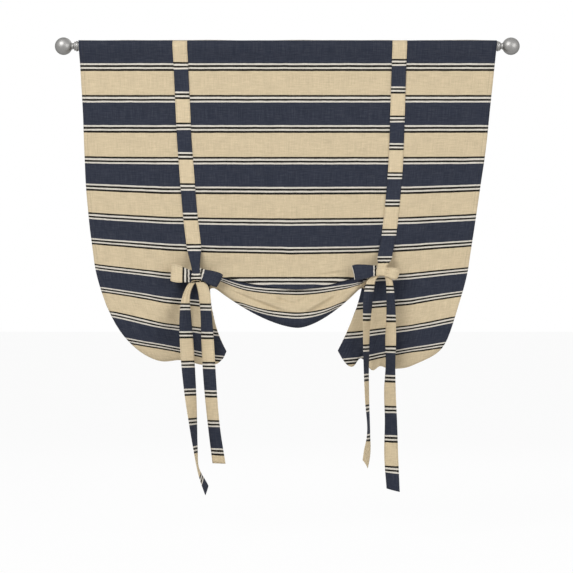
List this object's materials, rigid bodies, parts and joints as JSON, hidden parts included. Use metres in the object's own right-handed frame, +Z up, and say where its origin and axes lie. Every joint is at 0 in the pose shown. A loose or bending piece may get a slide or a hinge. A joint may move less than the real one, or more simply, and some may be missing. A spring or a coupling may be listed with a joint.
{
  "type": "tie-up curtain",
  "caption": "Striped cloth curtain panel on a rod with ball finials, its lower edge tied up by fabric straps into a swag with a hanging tail at each side.",
  "frame": {"origin": "on the rod's axis, midway between the top corners of the cloth", "axes": "+X along the rod to the viewer's right, +Z up, the front of the curtain faces -Y"},
  "size_m": [1.296, 0.0941, 1.2695],
  "materials": {
    "curtain_cloth": "matt woven cotton-linen with cross stripes",
    "tie_cloth": "matt woven cotton-linen with cross stripes",
    "rod_metal": "satin nickel",
    "finial_metal": "satin nickel",
    "stud_steel": "bright zinc plate",
    "plug_plastic": "moulded nylon"
  },
  "bodies": {
    "root": {"curtain_panel": "curtain_cloth", "front_tie_left": "tie_cloth", "front_tie_right": "tie_cloth", "back_tie_left": "tie_cloth", "back_tie_right": "tie_cloth", "rod_tube": "rod_metal", "rod_finials": "finial_metal", "finial_studs": "stud_steel", "rod_plugs": "plug_plastic"}
  },
  "joints": []
}
